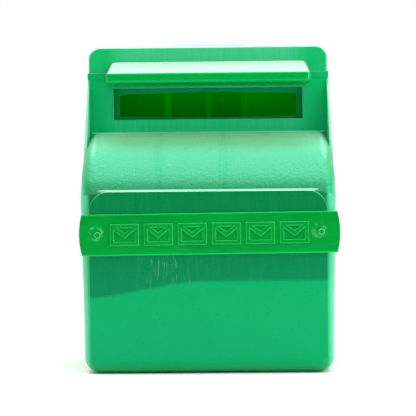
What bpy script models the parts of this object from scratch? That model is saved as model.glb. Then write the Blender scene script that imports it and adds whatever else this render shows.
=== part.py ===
"""Wall mounted mailbox of moulded plastic: a front shell with a letter slot, a back plate that hangs on the
wall, a lid hinged along the top of the back plate, a rain visor on the lid and a name band across the front.

Metres, +Z up. The wall is the plane y = 0 and the front faces -Y. The origin is the middle of the back, half
way up the overall height. Heights written as sizes below are measured up from the underside of the box."""

import math

import bmesh
import bpy
from mathutils import Matrix

# Front shell
WIDTH = 0.2576
BASE_TAPER = 0.0034
RIM_TAPER = 0.0016
DEPTH = 0.1385
RIM_HEIGHT = 0.3094
WALL = 0.0024
SIDE_ROUND = 0.0150
PANEL_DEPTH = 0.0710
PANEL_FOOT_BELOW_RIM = 0.0636
SHOULDER_RISE = 0.0698
SHOULDER_RADIUS = 0.0850
CREST_RADIUS = 0.0180
GUSSET_THICKNESS = 0.0016
GUSSET_BELOW_FOOT = 0.0343
RIM_BAND_HEIGHT = 0.0070
RIM_BAND_PROUD = 0.0004

# Letter slot and the recess around it
RECESS_FROM_EDGE = 0.0272
RECESS_TOP_BELOW_RIM = 0.0168
RECESS_HEIGHT = 0.0331
RECESS_DEPTH = 0.0080
SLOT_SIDE_LAND = 0.0052
SLOT_TOP_LAND = 0.0052
SLOT_BOTTOM_LAND = 0.0038
SLOT_CORNER = 0.0030
SLOT_TOP_BOW = 0.0018
SLOT_BOTTOM_BOW = 0.0010

# Raised pad on the front
PAD_FROM_SIDE = 0.0098
PAD_ABOVE_CREST = 0.0067
PAD_CORNER = 0.0210
PAD_PROUD = 0.0018
PAD_FADE_HEIGHT = 0.0500
PAD_THICKNESS = 0.0030
PAD_EDGE = 0.0012

# Name band
BAND_LENGTH_OVER_WIDTH = 0.0016
BAND_HEIGHT = 0.0412
BAND_THICKNESS = 0.0030
BAND_BELOW_PAD_TOP = 0.0224
BAND_END_BULGE = 0.0027
BAND_SHIFT = 0.0012
BAND_TILT = math.radians(0.45)
BAND_EDGE = 0.0008
MOTIF_COUNT = 6
MOTIF_HEIGHT = 0.0210
MOTIF_GAP = 0.0056
MOTIF_STROKE = 0.0034
MOTIF_PROUD = 0.0009
MOTIF_SINK = 0.0006
MOTIF_FROM_PIN = 0.0100

# Pins that hold the name band
BAND_PIN_FROM_END = 0.0186
BAND_PIN_RADIUS = 0.0018
BAND_PIN_HEAD_RADIUS = 0.0036
BAND_PIN_HEAD = 0.0013
BAND_PIN_HEAD_TOP = 0.0025
BAND_PIN_SINK = 0.0010
BAND_PIN_BEHIND = 0.0030

# Back plate
PLATE_THICKNESS = 0.0025
PLATE_SET_IN = 0.0040
STRIP_HALF = 0.0430
TAB_ABOVE_LID = 0.0127
TAB_SLOPE = 0.0030
RIB_WIDTH = 0.0022
RIB_DEPTH = 0.0030
WALL_HOLE_RADIUS = 0.0025
WALL_HOLE_SPACING = 0.0500
WALL_HOLE_BELOW_TOP = 0.0070
LOWER_HOLE_HEIGHT = 0.0600

# Screws that hold the back plate
PLATE_SCREW_ROWS = 3
PLATE_SCREW_FROM_END = 0.0260
BOSS_RADIUS = 0.0046
BOSS_LENGTH = 0.0240
BOSS_INTO_WALL = 0.0008
SCREW_RADIUS = 0.0016
SCREW_HEAD_RADIUS = 0.0034
SCREW_HEAD = 0.0021
SCREW_HEAD_TOP = 0.0028
SCREW_LENGTH = 0.0140
DRIVE_WIDTH = 0.0009
DRIVE_LENGTH = 0.0038
DRIVE_DEPTH = 0.0012

# Lid
LID_HEIGHT = 0.0276
LID_GAP = 0.0003
LID_SIDE_SET_IN = 0.0006
LID_CORNER = 0.0125
LID_EDGE = 0.0028
LID_REAR = 0.0083
LIP_THICKNESS = 0.0018
LIP_DROP = 0.0060
LIP_GAP = 0.0006
LIP_FROM_FRONT = 0.0120
LIP_LENGTH = 0.0340

# Hinge
HINGE_FROM_WALL = 0.0105
HINGE_BELOW_LID_TOP = 0.0073
KNUCKLE_RADIUS = 0.0040
HINGE_FROM_SIDE = 0.0416
PLATE_KNUCKLE = 0.0200
LID_KNUCKLE = 0.0120
KNUCKLE_GAP = 0.0005
TOWER_BELOW_AXIS = 0.0032
PIN_RADIUS = 0.0015
PIN_HEAD_RADIUS = 0.0030
PIN_HEAD = 0.0012
CAP_RADIUS = 0.0034
CAP_LENGTH = 0.0016
PIN_PAST_CAP = 0.0010
PIN_END_ROOM = 0.0060

# Rain visor
VISOR_OVER_RECESS = 0.0066
VISOR_SHIFT = 0.0006
VISOR_END_SLOPE = 0.0028
VISOR_TOP_ABOVE_RIM = 0.0112
VISOR_BREAK_BELOW_RIM = 0.0039
VISOR_BOTTOM_BELOW_RIM = 0.0145
VISOR_PROJECTION = 0.0260
VISOR_WALL = 0.0022
VISOR_LIP_ROUND = 0.0036
VISOR_BREAK_ROUND = 0.0040
VISOR_END_ROUND = 0.0048
VISOR_STEP = 0.0014
VISOR_BOSS_RADIUS = 0.0030
VISOR_BOSS_LENGTH = 0.0055
VISOR_SCREW_FROM_END = 0.0340
VISOR_SCREW_ABOVE_RIM = 0.0038
VISOR_SCREW_LENGTH = 0.0070

# Fits
TOUCH_GAP = 0.0003
PLATE_GAP = 0.0005
HOLE_GAP = 0.0003
SKIN = 0.00005
REACH = 0.0200

# Finer or coarser round shapes
ARC_STEPS = 6
ROUND_STEPS = 5
CIRCLE_STEPS = 24

# Values worked out from the sizes above
PANEL_FOOT = RIM_HEIGHT - PANEL_FOOT_BELOW_RIM
CREST_HEIGHT = PANEL_FOOT - SHOULDER_RISE
LID_BOTTOM = RIM_HEIGHT + LID_GAP
LID_TOP = LID_BOTTOM + LID_HEIGHT
TAB_TOP = LID_TOP + TAB_ABOVE_LID
BASE = -TAB_TOP / 2
PAD_TOP = CREST_HEIGHT + PAD_ABOVE_CREST
PAD_TILT = math.atan(PAD_PROUD / (PAD_TOP - PAD_FADE_HEIGHT))
BAND_MIDDLE = PAD_TOP - BAND_BELOW_PAD_TOP - BAND_HEIGHT / 2
BAND_HALF = (WIDTH + BAND_LENGTH_OVER_WIDTH) / 2
RECESS_TOP = RIM_HEIGHT - RECESS_TOP_BELOW_RIM
RECESS_BOTTOM = RECESS_TOP - RECESS_HEIGHT
RECESS_HALF = WIDTH / 2 - RIM_TAPER - RECESS_FROM_EDGE
LID_HALF = WIDTH / 2 - RIM_TAPER - LID_SIDE_SET_IN
HINGE_Z = LID_TOP - HINGE_BELOW_LID_TOP
HINGE_X = LID_HALF - HINGE_FROM_SIDE
VISOR_HALF = RECESS_HALF + VISOR_OVER_RECESS
VISOR_SCREW_X = VISOR_HALF - VISOR_SCREW_FROM_END
VISOR_SCREW_Z = RIM_HEIGHT + VISOR_SCREW_ABOVE_RIM

# A flat outline's X and Y become across and up in a front view, and depth and up in a side view.
FRONT_VIEW = Matrix(((1, 0, 0, 0), (0, 0, -1, 0), (0, 1, 0, BASE), (0, 0, 0, 1)))
SIDE_VIEW = Matrix(((0, 0, -1, 0), (-1, 0, 0, 0), (0, 1, 0, BASE), (0, 0, 0, 1)))
SIDES = {"left": -1, "right": 1}


def clear_scene():
    """Remove whatever the scene holds at the start."""
    for obj in list(bpy.data.objects):
        bpy.data.objects.remove(obj, do_unlink=True)


def new_collection(name):
    """A collection linked to the scene."""
    collection = bpy.data.collections.new(name)
    bpy.context.scene.collection.children.link(collection)
    return collection


def make_material(name, colour, roughness, metallic=0.0):
    """A Principled BSDF material of one colour."""
    material = bpy.data.materials.new(name)
    material.use_nodes = True
    shader = material.node_tree.nodes["Principled BSDF"]
    shader.inputs["Base Color"].default_value = (*colour, 1.0)
    shader.inputs["Roughness"].default_value = roughness
    shader.inputs["Metallic"].default_value = metallic
    return material


clear_scene()
PARTS = new_collection("wall_mailbox")
CUTTERS = new_collection("cutters")
SHELL_PLASTIC = make_material("shell_plastic", (0.03, 0.45, 0.17), 0.5)
LID_PLASTIC = make_material("lid_plastic", (0.03, 0.42, 0.15), 0.5)
VISOR_PLASTIC = make_material("visor_plastic", (0.03, 0.48, 0.16), 0.3)
BAND_PLASTIC = make_material("band_plastic", (0.0, 0.36, 0.05), 0.3)
STEEL = make_material("steel", (0.62, 0.63, 0.65), 0.3, 1.0)


def arc(centre, radius, start, end, steps=ARC_STEPS):
    """Points along a circular arc between two angles in degrees."""
    angles = [math.radians(start + (end - start) * i / steps) for i in range(steps + 1)]
    return [(centre[0] + radius * math.cos(a), centre[1] + radius * math.sin(a)) for a in angles]


def finish(obj, material):
    """Put a finished piece among the parts, with its material and smooth round faces."""
    PARTS.objects.link(obj)
    obj.data.materials.clear()
    obj.data.materials.append(material)
    obj.data.shade_smooth()
    obj.data.set_sharp_from_angle(angle=math.radians(30))
    return obj


def helper(obj):
    """Hide a solid that only cuts or joins another, and keep it with the cutters."""
    CUTTERS.objects.link(obj)
    obj.hide_render = True
    obj.display_type = "WIRE"
    return obj


def from_bmesh(name, bm):
    """An object holding the geometry of a bmesh."""
    mesh = bpy.data.meshes.new(name)
    bm.to_mesh(mesh)
    bm.free()
    return bpy.data.objects.new(name, mesh)


def box(name, low, high):
    """A box between two corners."""
    centre = [(a + b) / 2 for a, b in zip(low, high)]
    size = [b - a for a, b in zip(low, high)]
    bm = bmesh.new()
    bmesh.ops.create_cube(bm, size=1.0, matrix=Matrix.Translation(centre) @ Matrix.Diagonal((*size, 1.0)))
    return from_bmesh(name, bm)


def rod(name, radius, start, end, frame, end_radius=None):
    """A round bar, or a cone, along the Z axis of a frame."""
    bm = bmesh.new()
    bmesh.ops.create_cone(
        bm,
        cap_ends=True,
        segments=CIRCLE_STEPS,
        radius1=radius,
        radius2=radius if end_radius is None else end_radius,
        depth=end - start,
        matrix=frame @ Matrix.Translation((0, 0, (start + end) / 2)),
    )
    return from_bmesh(name, bm)


def prism(name, outline, low, high, view):
    """A flat outline given thickness from low to high, across the view it is drawn in."""
    curve = bpy.data.curves.new(name, "CURVE")
    curve.dimensions = "2D"
    curve.fill_mode = "BOTH"
    curve.extrude = (high - low) / 2
    spline = curve.splines.new("POLY")
    spline.points.add(len(outline) - 1)
    for point, (x, y) in zip(spline.points, outline):
        point.co = (x, y, 0, 1)
    spline.use_cyclic_u = True
    guide = bpy.data.objects.new(name, curve)
    CUTTERS.objects.link(guide)
    guide.matrix_world = view @ Matrix.Translation((0, 0, (low + high) / 2))
    bpy.context.view_layer.update()
    mesh = bpy.data.meshes.new_from_object(guide.evaluated_get(bpy.context.evaluated_depsgraph_get()))
    mesh.transform(guide.matrix_world)
    bm = bmesh.new()
    bm.from_mesh(mesh)
    bmesh.ops.remove_doubles(bm, verts=bm.verts, dist=1e-6)
    bmesh.ops.dissolve_limit(bm, angle_limit=math.radians(0.5), verts=bm.verts, edges=bm.edges)
    bmesh.ops.recalc_face_normals(bm, faces=bm.faces)
    bpy.data.objects.remove(guide)
    bpy.data.meshes.remove(mesh)
    return from_bmesh(name, bm)


def combine(obj, other, operation):
    """Cut, join or meet one solid with another by a Boolean modifier."""
    modifier = obj.modifiers.new(other.name, "BOOLEAN")
    modifier.operation = operation
    modifier.solver = "EXACT"
    modifier.object = helper(other)


def cut(obj, *others):
    """Take solids away from an object."""
    for other in others:
        combine(obj, other, "DIFFERENCE")


def join(obj, *others):
    """Fuse solids to an object."""
    for other in others:
        combine(obj, other, "UNION")


def round_edges(obj, width, steps, angle=30):
    """Round every edge that is sharper than an angle."""
    bevel = obj.modifiers.new("round", "BEVEL")
    bevel.width = width
    bevel.segments = steps
    bevel.limit_method = "ANGLE"
    bevel.angle_limit = math.radians(angle)


def round_chosen(bm, edges, width, steps):
    """Round the given edges of a bmesh."""
    bmesh.ops.bevel(
        bm,
        geom=edges,
        offset=width,
        offset_type="OFFSET",
        segments=steps,
        profile=0.5,
        affect="EDGES",
        clamp_overlap=False,
    )


def end_edges(bm):
    """Edges between the left or right end of a side-view prism and its outline, but not along its back."""
    chosen = []
    for edge in bm.edges:
        normals = [face.normal for face in edge.link_faces]
        on_end = sorted(abs(normal.x) for normal in normals)
        if on_end[0] < 0.5 < on_end[1] and max(normal.y for normal in normals) < 0.9:
            chosen.append(edge)
    return chosen


def facing(x, y, z):
    """A frame at a point whose Z axis points to the front of the box and whose Y axis points up."""
    return Matrix.Translation((x, y, z)) @ Matrix.Rotation(math.radians(90), 4, "X")


def across(x, y, z):
    """A frame at a point whose Z axis points to the right of the box."""
    return Matrix.Translation((x, y, z)) @ Matrix.Rotation(math.radians(90), 4, "Y")


def narrowing(height):
    """How far each side of the shell is drawn in at a height, with no taper at the crest."""
    if height < CREST_HEIGHT:
        return BASE_TAPER * (CREST_HEIGHT - height) / CREST_HEIGHT
    return RIM_TAPER * (height - CREST_HEIGHT) / (RIM_HEIGHT - CREST_HEIGHT)


def half_width(height, inset=0.0):
    """Half the shell's width at a height."""
    return WIDTH / 2 - narrowing(height) - inset


def shoulder():
    """Angle where the crest arc meets the shoulder arc, and that arc's centre as depth and height."""
    crest = (DEPTH - CREST_RADIUS, CREST_HEIGHT)
    to_foot = (PANEL_DEPTH - crest[0], PANEL_FOOT - crest[1])
    distance = math.hypot(*to_foot)
    step = SHOULDER_RADIUS - CREST_RADIUS
    share = (SHOULDER_RADIUS**2 - step**2 - distance**2) / (2 * step * distance)
    angle = math.atan2(to_foot[1], to_foot[0]) - math.acos(share)
    centre = (crest[0] - step * math.cos(angle), crest[1] - step * math.sin(angle))
    return math.degrees(angle), centre


def lower_outline(inset, back):
    """Side outline of the lower body, set in from its outer surface: underside, front and shoulder."""
    angle, centre = shoulder()
    outline = [(back, inset), (DEPTH - inset, inset)]
    outline += arc((DEPTH - CREST_RADIUS, CREST_HEIGHT), CREST_RADIUS - inset, 0, angle, 3)
    outline += arc(centre, SHOULDER_RADIUS - inset, angle, 90, 2 * ARC_STEPS)[1:]
    outline.append((back, centre[1] + SHOULDER_RADIUS - inset))
    return outline


def gusset_line():
    """Ends of the gusset's front edge as depth and height, at the side rounding and at the panel."""
    _, centre = shoulder()
    reach = SHOULDER_RADIUS - SIDE_ROUND
    height = PANEL_FOOT - GUSSET_BELOW_FOOT
    depth = centre[0] + math.sqrt(reach**2 - (height - centre[1]) ** 2)
    return (depth, height), (PANEL_DEPTH, RIM_HEIGHT - RIM_BAND_HEIGHT)


def upper_outline():
    """Side outline of the upper body with its gussets, from inside the lower body to just past the rim."""
    (low_depth, low), (high_depth, high) = gusset_line()
    slope = (high_depth - low_depth) / (high - low)
    start = low - SIDE_ROUND / 2
    return [
        (-REACH / 2, start),
        (low_depth + slope * (start - low), start),
        (high_depth, high),
        (PANEL_DEPTH, RIM_HEIGHT + WALL),
        (-REACH / 2, RIM_HEIGHT + WALL),
    ]


def taper_sides(bm):
    """Draw the sides in towards the base and the rim, with a fold line at the crest."""
    crest = (0, 0, BASE + CREST_HEIGHT)
    geometry = bm.verts[:] + bm.edges[:] + bm.faces[:]
    bmesh.ops.bisect_plane(bm, geom=geometry, plane_co=crest, plane_no=(0, 0, 1))
    for vert in bm.verts:
        vert.co.x -= math.copysign(narrowing(vert.co.z - BASE), vert.co.x)


def lower_form(name, inset, back):
    """The lower body's outer form, or one set in from it, with its side edges and foot rounded."""
    obj = prism(name, lower_outline(inset, back), inset - WIDTH / 2, WIDTH / 2 - inset, SIDE_VIEW)
    bm = bmesh.new()
    bm.from_mesh(obj.data)
    rounded = end_edges(bm)
    for edge in bm.edges:
        normals = [face.normal for face in edge.link_faces]
        if min(normal.y for normal in normals) < -0.9 and min(normal.z for normal in normals) < -0.9:
            rounded.append(edge)
    round_chosen(bm, rounded, SIDE_ROUND - inset, ROUND_STEPS)
    taper_sides(bm)
    bm.to_mesh(obj.data)
    bm.free()
    return obj


def upper_form():
    """The upper body with a gusset at each side, standing forward of the slot panel."""
    obj = prism("upper_body", upper_outline(), -WIDTH / 2 - SKIN, WIDTH / 2 + SKIN, SIDE_VIEW)
    bm = bmesh.new()
    bm.from_mesh(obj.data)
    taper_sides(bm)
    bm.to_mesh(obj.data)
    bm.free()
    half = half_width(RIM_HEIGHT) - GUSSET_THICKNESS
    low = BASE + gusset_line()[0][1] - REACH
    pocket = box("between_gussets", (-half, -DEPTH, low), (half, -PANEL_DEPTH, BASE + RIM_HEIGHT + REACH))
    cut(obj, pocket)
    return obj


def upper_cavity():
    """The space behind the slot panel, open at the back and the top."""
    inner = PANEL_DEPTH - WALL
    outline = [
        (-2 * REACH, CREST_HEIGHT),
        (inner, CREST_HEIGHT),
        (inner, RIM_HEIGHT + REACH),
        (-2 * REACH, RIM_HEIGHT + REACH),
    ]
    half = WIDTH / 2 - WALL - SKIN
    obj = prism("upper_cavity", outline, -half, half, SIDE_VIEW)
    bm = bmesh.new()
    bm.from_mesh(obj.data)
    taper_sides(bm)
    bm.to_mesh(obj.data)
    bm.free()
    return obj


def slot_outline():
    """Front outline of the letter slot, with round corners and its long edges bowed outwards."""
    half = RECESS_HALF - SLOT_SIDE_LAND - SLOT_CORNER
    bottom = RECESS_BOTTOM + SLOT_BOTTOM_LAND + SLOT_CORNER
    top = RECESS_TOP - SLOT_TOP_LAND - SLOT_CORNER
    outline = arc((-half, bottom), SLOT_CORNER, 180, 270, 3)
    for i in range(1, 2 * ARC_STEPS):
        share = 2 * i / (2 * ARC_STEPS) - 1
        outline.append((half * share, bottom - SLOT_CORNER - SLOT_BOTTOM_BOW * (1 - share**2)))
    outline += arc((half, bottom), SLOT_CORNER, 270, 360, 3)
    outline += arc((half, top), SLOT_CORNER, 0, 90, 3)
    for i in range(1, 2 * ARC_STEPS):
        share = 1 - 2 * i / (2 * ARC_STEPS)
        outline.append((half * share, top + SLOT_CORNER + SLOT_TOP_BOW * (1 - share**2)))
    outline += arc((-half, top), SLOT_CORNER, 90, 180, 3)
    return outline


def pad_frame():
    """The pad's own frame, with its origin at the top of the pad's face and Z out of the face."""
    frame = facing(0, -DEPTH - PAD_PROUD, BASE + PAD_TOP)
    return frame @ Matrix.Rotation(PAD_TILT, 4, "X")


def pad_half():
    """Half the width of the raised pad."""
    return half_width(CREST_HEIGHT) - PAD_FROM_SIDE


def pad():
    """The raised flat on the front, proud at its top and fading into the shell towards its foot."""
    half = pad_half() - PAD_CORNER
    bottom = SIDE_ROUND - PAD_TOP
    outline = arc((half, -PAD_CORNER), PAD_CORNER, 0, 90) + arc((-half, -PAD_CORNER), PAD_CORNER, 90, 180)
    outline += [(-half - PAD_CORNER, bottom), (half + PAD_CORNER, bottom)]
    solid = prism("pad", outline, -PAD_THICKNESS, 0, pad_frame())
    round_edges(solid, PAD_EDGE, 2)
    return solid


def boss_places():
    """Across and height of each back-plate screw."""
    first = PLATE_SCREW_FROM_END
    last = RIM_HEIGHT - PLATE_SCREW_FROM_END
    places = []
    for row in range(PLATE_SCREW_ROWS):
        height = first + (last - first) * row / (PLATE_SCREW_ROWS - 1)
        for side in SIDES.values():
            across_by = side * (half_width(height, WALL) - BOSS_RADIUS + BOSS_INTO_WALL)
            places.append((across_by, height))
    return places


def band_frame():
    """The name band's frame: origin at the middle of its back, X along it, Z out of the front."""
    drop = PAD_TOP - BAND_MIDDLE
    offset = Matrix.Translation((BAND_SHIFT, -drop, TOUCH_GAP)) @ Matrix.Rotation(BAND_TILT, 4, "Z")
    return pad_frame() @ offset


def band_pin_frame(side):
    """A frame on the name band's back where a pin goes through."""
    return band_frame() @ Matrix.Translation((side * (BAND_HALF - BAND_PIN_FROM_END), 0, 0))


def plate_front():
    """World Y of the back plate's face inside the box."""
    return -(PLATE_SET_IN + PLATE_THICKNESS)


def front_shell():
    """The open moulding that makes the underside, front, sides and slot panel."""
    obj = lower_form("front_shell", 0.0, -REACH)
    join(obj, upper_form())
    band_half = half_width(RIM_HEIGHT - RIM_BAND_HEIGHT) + RIM_BAND_PROUD
    band_low = (-band_half, -PANEL_DEPTH - RIM_BAND_PROUD, BASE + RIM_HEIGHT - RIM_BAND_HEIGHT)
    join(obj, box("rim_band", band_low, (band_half, REACH / 4, BASE + RIM_HEIGHT + REACH)), pad())
    cut(obj, lower_form("lower_cavity", WALL, -2 * REACH))
    cut(obj, upper_cavity())
    room = 2 * WIDTH
    cut(obj, box("above_rim", (-room, -room, BASE + RIM_HEIGHT), (room, room, BASE + RIM_HEIGHT + room)))
    cut(obj, box("behind_wall", (-room, 0, BASE - room), (room, room, BASE + RIM_HEIGHT + room)))
    tray_low = (-RECESS_HALF - WALL, -PANEL_DEPTH + WALL / 2, BASE + RECESS_BOTTOM - WALL)
    tray_high = (RECESS_HALF + WALL, -PANEL_DEPTH + RECESS_DEPTH + WALL, BASE + RECESS_TOP + WALL)
    join(obj, box("slot_tray", tray_low, tray_high))
    recess_low = (-RECESS_HALF, -PANEL_DEPTH - REACH / 2, BASE + RECESS_BOTTOM)
    cut(obj, box("recess", recess_low, (RECESS_HALF, -PANEL_DEPTH + RECESS_DEPTH, BASE + RECESS_TOP)))
    cut(obj, prism("slot", slot_outline(), PANEL_DEPTH - RECESS_DEPTH - REACH / 2, PANEL_DEPTH, FRONT_VIEW))
    face = plate_front() - TOUCH_GAP
    for number, (x, height) in enumerate(boss_places(), 1):
        frame = facing(x, face, BASE + height)
        boss = rod(f"boss_{number}", BOSS_RADIUS, 0, BOSS_LENGTH, frame)
        pilot = rod(f"pilot_{number}", SCREW_RADIUS + HOLE_GAP, -REACH, SCREW_LENGTH, frame)
        join(obj, boss)
        cut(obj, pilot)
    for name, side in SIDES.items():
        hole = rod(f"band_hole_{name}", BAND_PIN_RADIUS + HOLE_GAP, -REACH, REACH / 4, band_pin_frame(side))
        cut(obj, hole)
    return finish(obj, SHELL_PLASTIC)


def plate_outline():
    """Front outline of the back plate, which fits inside the shell and has a hanging tab above the lid."""
    inset = WALL + PLATE_GAP
    corner = SIDE_ROUND - inset
    low = half_width(SIDE_ROUND, inset) - corner
    outline = arc((low, inset + corner), corner, -90, 0)
    outline += [(half_width(CREST_HEIGHT, inset), CREST_HEIGHT), (half_width(RIM_HEIGHT, inset), RIM_HEIGHT)]
    outline += [(STRIP_HALF, RIM_HEIGHT), (STRIP_HALF, TAB_TOP - TAB_SLOPE)]
    outline.append((STRIP_HALF - TAB_SLOPE, TAB_TOP))
    mirrored = [(-x, height) for x, height in reversed(outline)]
    return outline + mirrored


def back_plate():
    """The plate behind the box: a middle strip against the wall, side sheets set in, and hinge knuckles."""
    obj = prism("back_plate", plate_outline(), 0, -plate_front(), FRONT_VIEW)
    top = BASE + TAB_TOP + REACH
    for name, side in SIDES.items():
        near, far = sorted((side * (STRIP_HALF + SKIN), side * WIDTH))
        cut(obj, box(f"behind_{name}", (near, -PLATE_SET_IN, BASE - REACH), (far, REACH, top)))
    channel = STRIP_HALF - PLATE_THICKNESS
    cut(obj, box("channel", (-channel, -REACH, BASE - REACH), (channel, -PLATE_THICKNESS, top)))
    tab_face = -PLATE_THICKNESS - SKIN
    cut(obj, box("tab_front", (-WIDTH, -REACH, BASE + RIM_HEIGHT + SKIN), (WIDTH, tab_face, top)))
    rib_low = (-RIB_WIDTH / 2, -PLATE_THICKNESS - RIB_DEPTH, BASE + SIDE_ROUND)
    rib_high = (RIB_WIDTH / 2, -PLATE_THICKNESS / 2, BASE + RIM_HEIGHT - RIB_DEPTH)
    join(obj, box("centre_rib", rib_low, rib_high))
    for name, side in SIDES.items():
        middle = side * HINGE_X
        half = PLATE_KNUCKLE / 2
        post_half = half - 2 * SKIN
        post_low = (middle - post_half, plate_front() - SKIN, BASE + RIM_HEIGHT - REACH)
        post_high = (middle + post_half, -PLATE_SET_IN + SKIN, BASE + HINGE_Z - TOWER_BELOW_AXIS)
        neck_half = half - SKIN
        neck_low = (middle - neck_half, -HINGE_FROM_WALL - KNUCKLE_RADIUS + TOUCH_GAP, BASE + LID_BOTTOM)
        neck_high = (middle + neck_half, plate_front() + TOUCH_GAP, BASE + HINGE_Z)
        eye_frame = across(middle, -HINGE_FROM_WALL, BASE + HINGE_Z)
        join(obj, box(f"post_{name}", post_low, post_high), box(f"neck_{name}", neck_low, neck_high))
        join(obj, rod(f"plate_eye_{name}", KNUCKLE_RADIUS, -half, half, eye_frame))
        cut(obj, rod(f"plate_bore_{name}", PIN_RADIUS + HOLE_GAP, -REACH, REACH, eye_frame))
    for height in (LOWER_HOLE_HEIGHT, TAB_TOP - WALL_HOLE_BELOW_TOP):
        for name, side in SIDES.items():
            frame = facing(side * WALL_HOLE_SPACING / 2, 0, BASE + height)
            cut(obj, rod(f"wall_hole_{name}_{height:.3f}", WALL_HOLE_RADIUS, -REACH, REACH, frame))
    for number, (x, height) in enumerate(boss_places(), 1):
        frame = facing(x, 0, BASE + height)
        cut(obj, rod(f"plate_hole_{number}", SCREW_RADIUS + HOLE_GAP, -REACH, REACH, frame))
    return finish(obj, SHELL_PLASTIC)


def screw(name, frame, length):
    """A pan head screw: the frame's origin is under its head, and its shank points along +Z."""
    obj = rod(name, SCREW_RADIUS, -SCREW_HEAD / 2, length, frame)
    head = rod(f"{name}_head", SCREW_HEAD_TOP, -SCREW_HEAD, 0, frame, SCREW_HEAD_RADIUS)
    join(obj, head)
    for turn in (0, 90):
        blade_frame = frame @ Matrix.Rotation(math.radians(turn), 4, "Z")
        low = (-DRIVE_LENGTH / 2, -DRIVE_WIDTH / 2, -SCREW_HEAD - DRIVE_DEPTH)
        high = (DRIVE_LENGTH / 2, DRIVE_WIDTH / 2, -SCREW_HEAD + DRIVE_DEPTH)
        blade = box(f"{name}_drive_{turn}", low, high)
        blade.matrix_world = blade_frame
        cut(obj, blade)
    return finish(obj, STEEL)


def plate_screws():
    """The screws that hold the back plate to the shell's bosses, driven from behind."""
    for number, (x, height) in enumerate(boss_places(), 1):
        frame = facing(x, -PLATE_SET_IN + TOUCH_GAP, BASE + height)
        screw(f"plate_screw_{number}", frame, SCREW_LENGTH)


def envelope_outline(width, height):
    """Outline of one envelope, centred."""
    x, y = width / 2, height / 2
    return [(-x, -y), (x, -y), (x, y), (-x, y)]


def envelope(name, frame, width):
    """One raised envelope sign: a frame with a folded flap across it, ready to be fused to the band."""
    low, high = -MOTIF_SINK, MOTIF_PROUD
    solid = prism(name, envelope_outline(width, MOTIF_HEIGHT), low, high, frame)
    hollow_size = (width - 2 * MOTIF_STROKE, MOTIF_HEIGHT - 2 * MOTIF_STROKE)
    hollow = prism(f"{name}_inside", envelope_outline(*hollow_size), -REACH, REACH, frame)
    cut(solid, hollow)
    top = MOTIF_HEIGHT / 2 - MOTIF_STROKE / 2
    side = width / 2 - MOTIF_STROKE / 2
    fold = [
        (-side, top),
        (-side, top - MOTIF_STROKE),
        (0, -MOTIF_STROKE),
        (side, top - MOTIF_STROKE),
        (side, top),
        (0, MOTIF_STROKE / 3),
    ]
    join(solid, prism(f"{name}_flap", fold, low + SKIN, high - SKIN, frame))
    return solid


def name_band():
    """The plate across the front, with a row of raised envelope signs, pinned at its two ends."""
    frame = band_frame()
    corner = BAND_HALF - BAND_END_BULGE
    half_height = BAND_HEIGHT / 2
    radius = (half_height**2 + BAND_END_BULGE**2) / (2 * BAND_END_BULGE)
    swing = math.degrees(math.asin(half_height / radius))
    right_end = arc((corner + BAND_END_BULGE - radius, 0), radius, -swing, swing)
    left_end = [(-x, -z) for x, z in right_end]
    obj = prism("name_band", right_end + left_end, 0, BAND_THICKNESS, frame)
    round_edges(obj, BAND_EDGE, 2)
    field = BAND_HALF - BAND_PIN_FROM_END - MOTIF_FROM_PIN
    pitch = 2 * field / MOTIF_COUNT
    for number in range(MOTIF_COUNT):
        place = Matrix.Translation((-field + pitch * (number + 0.5), 0, BAND_THICKNESS))
        join(obj, envelope(f"envelope_{number + 1}", frame @ place, pitch - MOTIF_GAP))
    for name, side in SIDES.items():
        pin_frame = band_pin_frame(side)
        cut(obj, rod(f"band_bore_{name}", BAND_PIN_RADIUS + HOLE_GAP, -REACH, REACH, pin_frame))
        seat = rod(
            f"band_seat_{name}",
            BAND_PIN_HEAD_RADIUS + HOLE_GAP,
            BAND_THICKNESS - BAND_PIN_SINK,
            REACH,
            pin_frame,
        )
        cut(obj, seat)
    return finish(obj, BAND_PLASTIC)


def band_pins():
    """Push pins through the ends of the name band into the shell's front wall."""
    for name, side in SIDES.items():
        frame = band_pin_frame(side)
        seat = BAND_THICKNESS - BAND_PIN_SINK + TOUCH_GAP
        tip = -(TOUCH_GAP + WALL + BAND_PIN_BEHIND)
        pin = rod(f"band_pin_{name}", BAND_PIN_RADIUS, tip, seat + BAND_PIN_HEAD / 2, frame)
        head = rod(
            f"band_pin_head_{name}",
            BAND_PIN_HEAD_RADIUS,
            seat,
            seat + BAND_PIN_HEAD,
            frame,
            BAND_PIN_HEAD_TOP,
        )
        join(pin, head)
        finish(pin, BAND_PLASTIC)


def lid_outline(inset, bottom):
    """Front outline of the lid, set in from its outer surface: straight sides and round top corners."""
    corner = LID_CORNER - inset
    half = LID_HALF - LID_CORNER
    outline = arc((half, LID_TOP - LID_CORNER), corner, 0, 90)
    outline += arc((-half, LID_TOP - LID_CORNER), corner, 90, 180)
    return outline + [(-half - corner, bottom), (half + corner, bottom)]


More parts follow.
